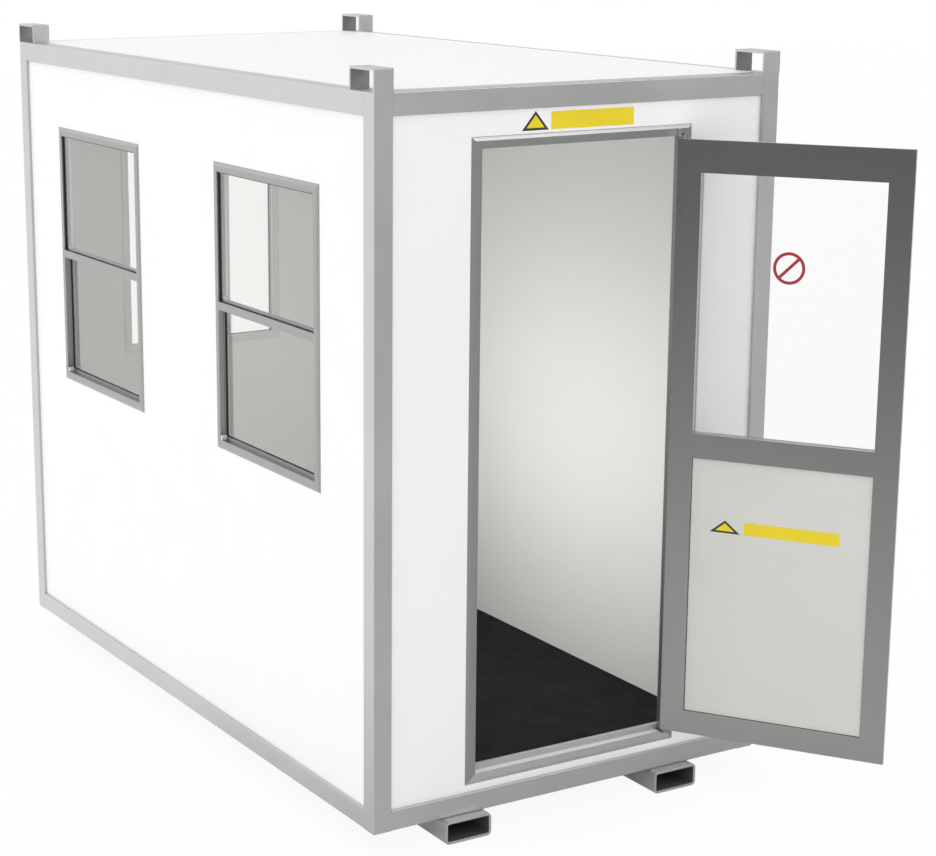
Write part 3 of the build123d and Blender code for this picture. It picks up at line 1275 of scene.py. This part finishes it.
@dataclass
class Studio:
    """Floor, white surround, lamps and camera."""

    floor_size: float = 60.0
    sky_level: float = 0.74
    sky_lift: float = 0.6
    sky_toward: Vector = field(default_factory=lambda: Vector((-0.58, 0.34, 0.86)).normalized())
    mirror_level: float = 0.84
    mirror_lift: float = 0.32
    far_level: float = 0.7
    far_lift: float = 0.4
    mirror_toward: Vector = field(default_factory=lambda: Vector((-0.52, 0.84, 0.0)).normalized())
    floor_tone: str = "f4f4f4"
    floor_white: float = 0.93
    mirror_glow: float = 0.4

    def rays(self, tree: bpy.types.NodeTree, *kinds: str) -> bpy.types.NodeSocket:
        """One for the given kinds of ray, else nought.

        Args:
            tree: The node tree.
            kinds: The light path outputs.

        Returns:
            The value socket.
        """
        path = add_node(tree, "ShaderNodeLightPath")
        first, *others = [path.outputs[kind] for kind in kinds]
        for other in others:
            pair = {0: first, 1: other}
            first = add_node(tree, "ShaderNodeMath", None, pair, operation="MAXIMUM").outputs[0]
        return first

    def slope(
        self, tree: bpy.types.NodeTree, way: bpy.types.NodeSocket, toward: Vector, level: float, lift: float
    ) -> bpy.types.NodeSocket:
        """A level that rises towards one direction and falls away from it.

        Args:
            tree: The node tree.
            way: The direction, of length 1.
            toward: Where the level is highest.
            level: The middle of the level.
            lift: How far the level rises and falls.

        Returns:
            The level.
        """
        dot = add_node(tree, "ShaderNodeVectorMath", {1: toward}, {0: way}, operation="DOT_PRODUCT")
        values = {"From Min": -1.0, "From Max": 1.0, "To Min": level - lift, "To Max": level + lift}
        links = {"Value": dot.outputs["Value"]}
        return add_node(tree, "ShaderNodeMapRange", values, links).outputs["Result"]

    def build_world(self) -> None:
        """White to the eye, a soft light from the left and above, and a darker front for the metal."""
        world = bpy.data.worlds.new("studio_world")
        bpy.context.scene.world = world
        world.use_nodes = True
        tree = world.node_tree
        tree.nodes.clear()
        output = add_node(tree, "ShaderNodeOutputWorld")
        way = add_node(tree, "ShaderNodeTexCoord").outputs["Generated"]
        sky = self.slope(tree, way, self.sky_toward, self.sky_level, self.sky_lift)
        mirror = self.slope(tree, way, self.mirror_toward, self.far_level, self.far_lift)
        glossy = {0: self.rays(tree, "Is Glossy Ray"), 2: sky, 3: mirror}
        level = add_node(tree, "ShaderNodeMix", None, glossy, data_type="FLOAT").outputs[0]
        sight = {0: self.rays(tree, "Is Camera Ray", "Is Transmission Ray"), 2: level}
        seen = add_node(tree, "ShaderNodeMix", {3: 1.0}, sight, data_type="FLOAT").outputs[0]
        white = {"Color": (1.0, 1.0, 1.0, 1.0)}
        surround = add_node(tree, "ShaderNodeBackground", white, {"Strength": seen})
        tree.links.new(surround.outputs[0], output.inputs["Surface"])

    def build_floor(self) -> None:
        """A pale floor that shows white to the eye and keeps a faint shadow."""
        bm = bmesh.new()
        bmesh.ops.create_grid(bm, x_segments=1, y_segments=1, size=self.floor_size / 2)
        mesh = bpy.data.meshes.new("studio_floor")
        bm.to_mesh(mesh)
        bm.free()
        floor = bpy.data.objects.new("studio_floor", mesh)
        bpy.context.scene.collection.objects.link(floor)
        # Sweep of matt paper: white to the eye, and in the metal it darkens towards the front.
        material, tree, output = new_material("studio_floor_paper")
        place = add_node(tree, "ShaderNodeTexCoord").outputs["Object"]
        way = add_node(tree, "ShaderNodeVectorMath", None, {0: place}, operation="NORMALIZE").outputs[0]
        mirror = self.slope(tree, way, self.mirror_toward, self.mirror_level, self.mirror_lift)
        glossy = self.rays(tree, "Is Glossy Ray")
        sight = self.rays(tree, "Is Camera Ray", "Is Transmission Ray")
        tones = {0: glossy, 7: mirror}
        tone = add_node(tree, "ShaderNodeMix", {6: linear(self.floor_tone)}, tones, data_type="RGBA")
        paper = add_node(tree, "ShaderNodeBsdfDiffuse", None, {"Color": tone.outputs[2]})
        power = add_node(tree, "ShaderNodeMix", {3: 1.0}, {0: sight, 2: mirror}, data_type="FLOAT")
        white = {"Color": (1.0, 1.0, 1.0, 1.0)}
        glow = add_node(tree, "ShaderNodeEmission", white, {1: power.outputs[0]})
        part = add_node(tree, "ShaderNodeMath", {1: self.mirror_glow}, {0: glossy}, operation="MULTIPLY")
        shares = {0: sight, 2: part.outputs[0]}
        share = add_node(tree, "ShaderNodeMix", {3: self.floor_white}, shares, data_type="FLOAT")
        layers = {0: share.outputs[0], 1: paper.outputs[0], 2: glow.outputs[0]}
        mix = add_node(tree, "ShaderNodeMixShader", None, layers)
        tree.links.new(mix.outputs[0], output.inputs["Surface"])
        mesh.materials.append(material)

    def add_lamp(self, lamp: SoftBox) -> None:
        """Add one soft box.

        Args:
            lamp: The soft box.
        """
        light = bpy.data.lights.new(lamp.name, "AREA")
        light.shape = "RECTANGLE"
        light.size, light.size_y = lamp.size
        light.energy = lamp.watts
        box = bpy.data.objects.new(lamp.name, light)
        bpy.context.scene.collection.objects.link(box)
        box.location = lamp.aim + lamp.away
        box.rotation_euler = (-lamp.away).to_track_quat("-Z", "Y").to_euler()
        for ray in ("camera", *lamp.hidden_from):
            setattr(box, "visible_" + ray, False)

    def build_camera(self) -> None:
        """The photograph's camera."""
        data = bpy.data.cameras.new("photo_camera")
        data.sensor_width = SENSOR_WIDTH
        data.lens = SENSOR_WIDTH * FOCAL_PIXELS / IMAGE_WIDTH
        data.shift_x = (IMAGE_WIDTH / 2 - PRINCIPAL_RIGHT) / IMAGE_WIDTH
        data.shift_y = (PRINCIPAL_DOWN - IMAGE_HEIGHT / 2) / IMAGE_WIDTH
        camera = bpy.data.objects.new("photo_camera", data)
        bpy.context.scene.collection.objects.link(camera)
        camera.location = CAMERA_PLACE
        camera.rotation_euler = (
            math.radians(90.0 - CAMERA_DIP),
            0.0,
            math.radians(-CAMERA_HEADING),
        )
        bpy.context.scene.camera = camera

    def build(self) -> None:
        """Build the studio."""
        self.build_world()
        self.build_floor()
        for lamp in SOFT_BOXES:
            self.add_lamp(lamp)
        self.build_camera()
        bpy.context.scene.view_settings.view_transform = "Standard"


def main() -> None:
    """Build every part of the scene in order."""
    logging.basicConfig(level=logging.INFO, format="%(name)s %(message)s")
    joint = frame["joints"][0]
    finishes = Finishes(-joint["range_deg"][0])
    SteelFrame(finishes).build()
    Envelope(finishes).build()
    Window("window_front", Yaw.LEFT, finishes).build()
    Window("window_rear", Yaw.LEFT, finishes).build()
    Window("window_back", Yaw.BACK, finishes, slides=False).build()
    Door(finishes, joint).build()
    FrontSigns(finishes).build()
    Studio().build()


if __name__ == "__main__":
    main()
